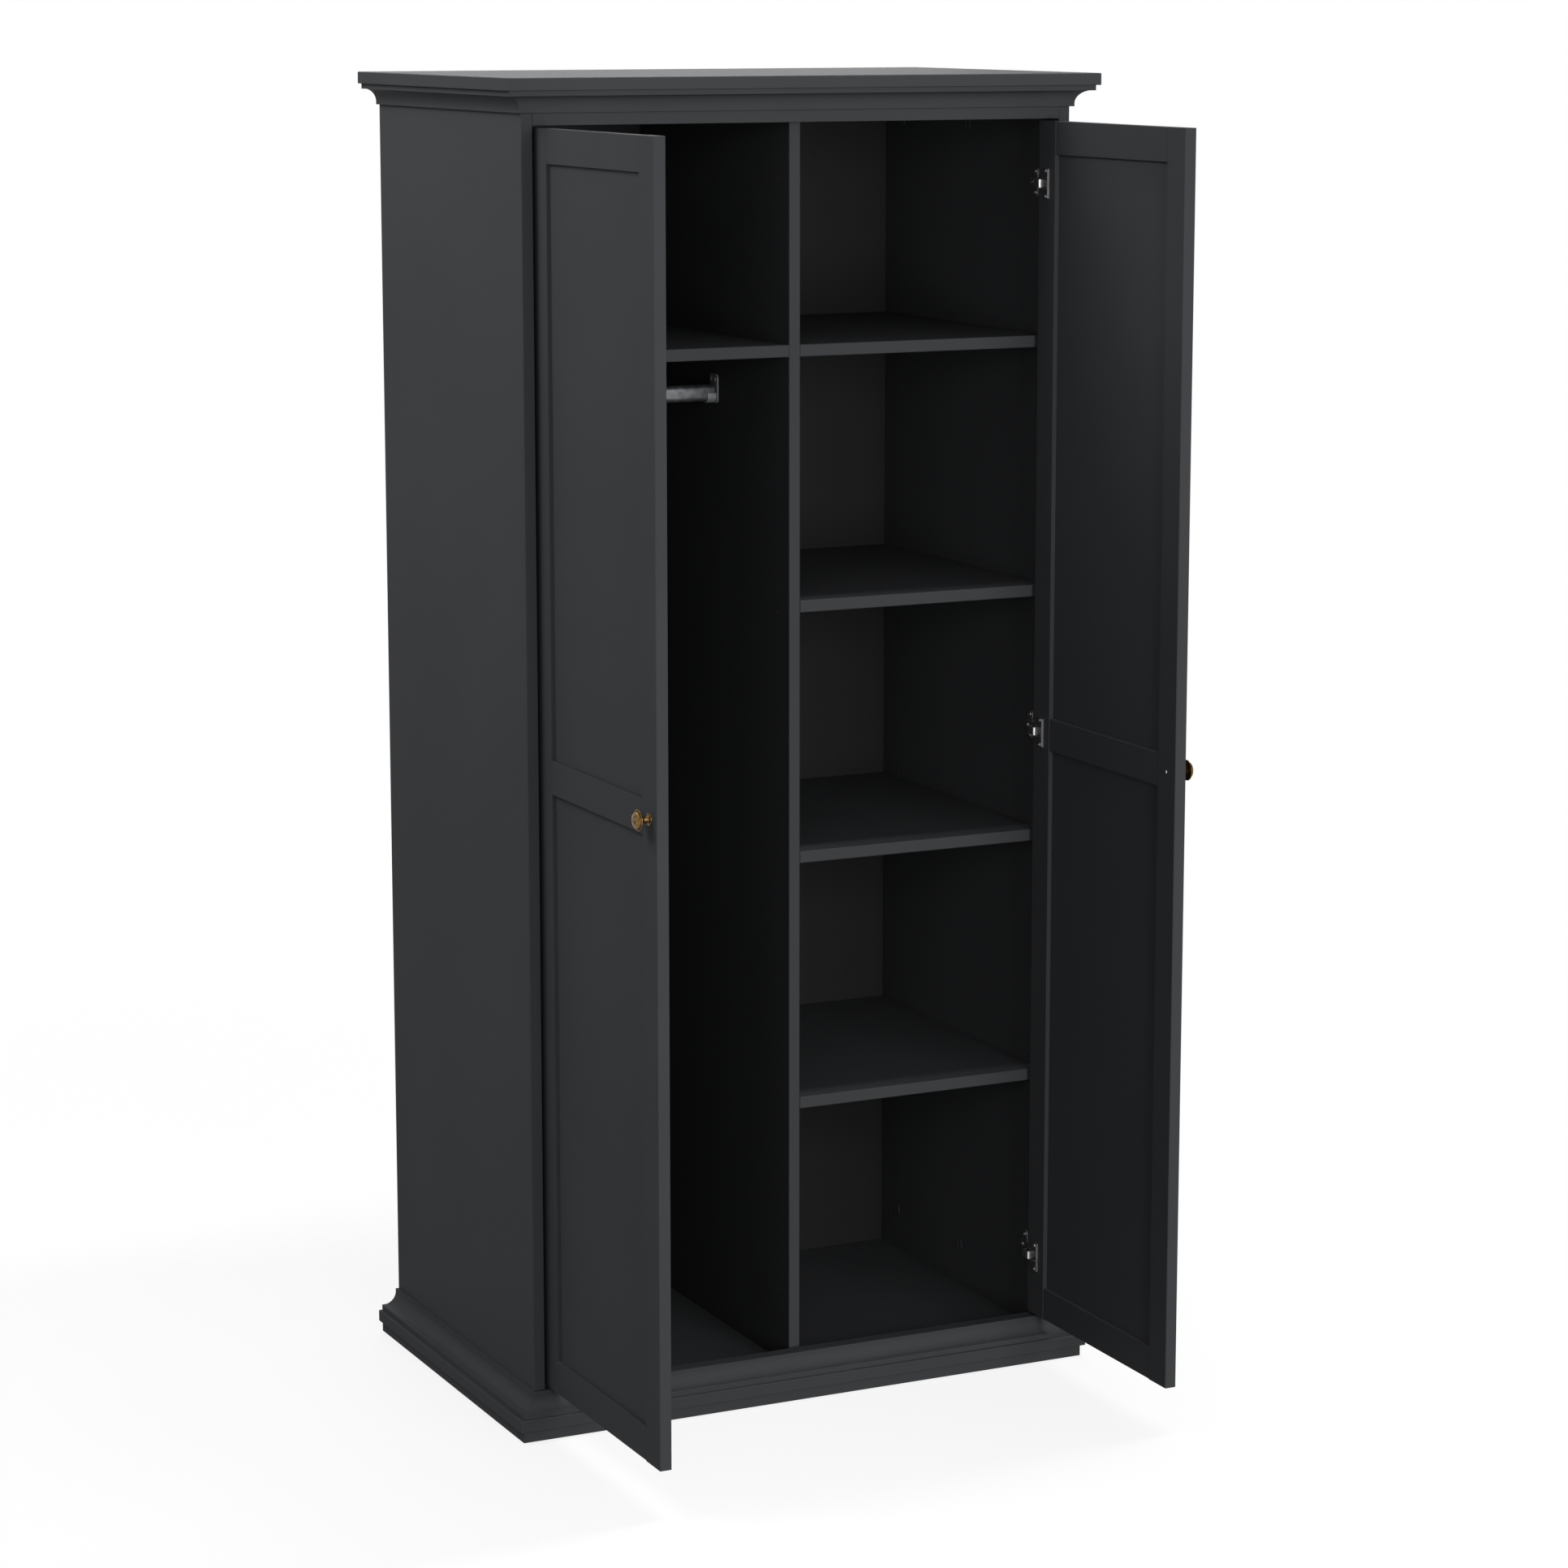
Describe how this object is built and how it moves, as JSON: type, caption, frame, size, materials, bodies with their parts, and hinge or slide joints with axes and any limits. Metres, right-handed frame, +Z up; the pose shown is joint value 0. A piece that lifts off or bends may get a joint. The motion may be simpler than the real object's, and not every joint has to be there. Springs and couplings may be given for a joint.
{
  "type": "wardrobe with doors",
  "caption": "Tall free-standing wardrobe with panelled inset doors on concealed cup hinges, cove-moulded cornice and base, a hanging rail on one side and shelves on the other.",
  "frame": {"origin": "middle of the bottom board's footprint, on the floor, under the plinth's middle runner", "axes": "+Z up, +X to the right when facing the doors, the front faces -Y"},
  "size_m": [0.964, 0.9815, 2.01],
  "materials": {
    "board_black": "matt anthracite-black foil over board",
    "back_board": "thin matt black hardboard",
    "bright_steel": "bright zinc-plated",
    "cam_zinc": "dull die-cast zinc",
    "dowel_beech": "plain beech",
    "nickel_plate": "satin nickel plate",
    "rail_steel": "dark mottled galvanised",
    "bracket_grey": "dark grey moulded",
    "aged_brass": "antique brass, darkened"
  },
  "bodies": {
    "carcass": {"adjustable_shelf_1": "board_black", "adjustable_shelf_2": "board_black", "adjustable_shelf_3": "board_black", "back_panel_left": "back_board", "back_panel_right": "back_board", "base_moulding_front": "board_black", "base_moulding_left": "board_black", "base_moulding_right": "board_black", "bottom_board": "board_black", "cam_bolts": "bright_steel", "cam_locks": "cam_zinc", "clothes_rail": "rail_steel", "cornice_front": "board_black", "cornice_left": "board_black", "cornice_rail_back": "board_black", "cornice_right": "board_black", "divider_panel": "board_black", "fascia_rail": "board_black", "hat_shelf": "board_black", "hinge_arms": "nickel_plate", "hinge_plate_screws": "bright_steel", "hinge_plates": "nickel_plate", "left_side_panel": "board_black", "plinth_back": "board_black", "plinth_front": "board_black", "plinth_left": "board_black", "plinth_middle": "board_black", "plinth_right": "board_black", "rail_bracket_screws": "bracket_grey", "rail_brackets": "bracket_grey", "right_side_panel": "board_black", "shelf_pins": "bright_steel", "top_board": "board_black", "upper_shelf": "board_black", "wooden_dowels": "dowel_beech"},
    "left_door": {"left_door_bottom_rail": "board_black", "left_door_cup_screws": "bright_steel", "left_door_hinge_cups": "nickel_plate", "left_door_hinge_pins": "bright_steel", "left_door_hinge_stile": "board_black", "left_door_knob": "aged_brass", "left_door_knob_screw": "bright_steel", "left_door_lower_panel": "board_black", "left_door_meeting_stile": "board_black", "left_door_middle_rail": "board_black", "left_door_top_rail": "board_black", "left_door_upper_panel": "board_black"},
    "right_door": {"right_door_bottom_rail": "board_black", "right_door_cup_screws": "bright_steel", "right_door_hinge_cups": "nickel_plate", "right_door_hinge_pins": "bright_steel", "right_door_hinge_stile": "board_black", "right_door_knob": "aged_brass", "right_door_knob_screw": "bright_steel", "right_door_lower_panel": "board_black", "right_door_meeting_stile": "board_black", "right_door_middle_rail": "board_black", "right_door_top_rail": "board_black", "right_door_upper_panel": "board_black"}
  },
  "joints": [
    {"name": "left_door_hinge", "type": "hinge", "parent": "carcass", "child": "left_door", "pos_m": [-0.416, -0.261, 1.005], "axis": [0, 0, 1], "range_deg": [-5, 90]},
    {"name": "right_door_hinge", "type": "hinge", "parent": "carcass", "child": "right_door", "pos_m": [0.416, -0.261, 1.005], "axis": [0, 0, 1], "range_deg": [-90, 5]}
  ]
}
